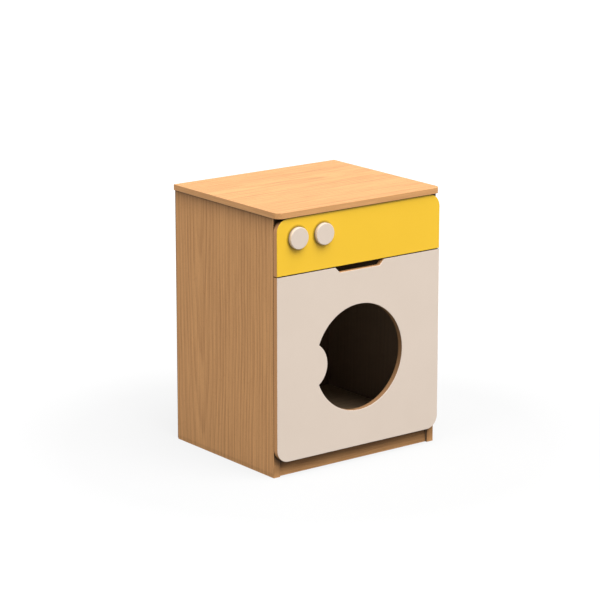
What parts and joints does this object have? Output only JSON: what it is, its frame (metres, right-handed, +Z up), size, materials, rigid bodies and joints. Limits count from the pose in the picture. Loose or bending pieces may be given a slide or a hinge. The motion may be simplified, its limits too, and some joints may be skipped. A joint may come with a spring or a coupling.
{
  "type": "toy washing machine",
  "caption": "Play washing machine of beech-effect board with a drop-down porthole door and turning knobs on a coloured control panel.",
  "frame": {"origin": "on the floor under the middle of the whole object, knobs and worktop included", "axes": "+X to the right seen from the front, +Y to the back, +Z up"},
  "size_m": [0.46, 0.3962, 0.6],
  "materials": {
    "beech_board": "matt melamine-coated board with printed beech grain",
    "beech_edge_band": "matt ABS edge band with beech print",
    "beech_plywood": "lacquered beech plywood, its layers showing at the edges",
    "yellow_facing": "satin coloured sheet with a rounded arris",
    "cream_facing": "satin coloured sheet with a rounded arris",
    "cream_paint": "turned wood, satin paint",
    "back_board": "thin hardboard, foiled on the inside",
    "dowel_wood": "plain beech dowel",
    "zinc_plated_steel": "bright zinc plate",
    "die_cast_zinc": "raw zinc die casting",
    "brass_insert": "turned brass",
    "nylon": "natural nylon",
    "catch_plastic": "brown moulded plastic",
    "ferrite": "sintered ferrite"
  },
  "bodies": {
    "cabinet": {"left_side_panel": "beech_board", "right_side_panel": "beech_board", "left_side_edge_band": "beech_edge_band", "right_side_edge_band": "beech_edge_band", "bottom_board": "beech_board", "bottom_board_edge_band": "beech_edge_band", "divider_board": "beech_board", "plinth_board": "beech_board", "back_panel": "back_board", "back_panel_screws": "zinc_plated_steel", "worktop_board": "beech_board", "worktop_edge_band": "beech_edge_band", "worktop_rear_edge_band": "beech_edge_band", "control_panel": "beech_plywood", "control_panel_facing": "yellow_facing", "angle_brackets": "zinc_plated_steel", "bracket_screws": "zinc_plated_steel", "cam_housings": "die_cast_zinc", "cam_bolts": "zinc_plated_steel", "wooden_dowels": "dowel_wood", "left_hinge_cabinet_leaf": "zinc_plated_steel", "right_hinge_cabinet_leaf": "zinc_plated_steel", "left_hinge_pin": "zinc_plated_steel", "right_hinge_pin": "zinc_plated_steel", "hinge_cabinet_screws": "zinc_plated_steel", "catch_housing": "catch_plastic", "catch_magnet": "ferrite", "catch_pole_plates": "zinc_plated_steel", "catch_screws": "zinc_plated_steel", "knob_left_bush": "nylon", "knob_right_bush": "nylon"},
    "door": {"door_panel": "beech_plywood", "door_facing": "cream_facing", "left_hinge_door_leaf": "zinc_plated_steel", "right_hinge_door_leaf": "zinc_plated_steel", "hinge_door_screws": "zinc_plated_steel", "catch_strike_plate": "zinc_plated_steel", "catch_strike_screw": "zinc_plated_steel"},
    "left_knob": {"knob_left": "cream_paint", "knob_left_insert": "brass_insert", "knob_left_spindle": "zinc_plated_steel", "knob_left_washer": "zinc_plated_steel", "knob_left_lock_nut": "zinc_plated_steel"},
    "right_knob": {"knob_right": "cream_paint", "knob_right_insert": "brass_insert", "knob_right_spindle": "zinc_plated_steel", "knob_right_washer": "zinc_plated_steel", "knob_right_lock_nut": "zinc_plated_steel"}
  },
  "joints": [
    {"name": "door_hinge", "type": "hinge", "parent": "cabinet", "child": "door", "pos_m": [0, -0.1721, 0.033], "axis": [1, 0, 0], "range_deg": [0, 92]},
    {"name": "left_knob_turn", "type": "hinge", "parent": "cabinet", "child": "left_knob", "pos_m": [-0.1744, -0.1881, 0.5395], "axis": [0, -1, 0], "continuous": true},
    {"name": "right_knob_turn", "type": "hinge", "parent": "cabinet", "child": "right_knob", "pos_m": [-0.1038, -0.1881, 0.5395], "axis": [0, -1, 0], "continuous": true}
  ]
}
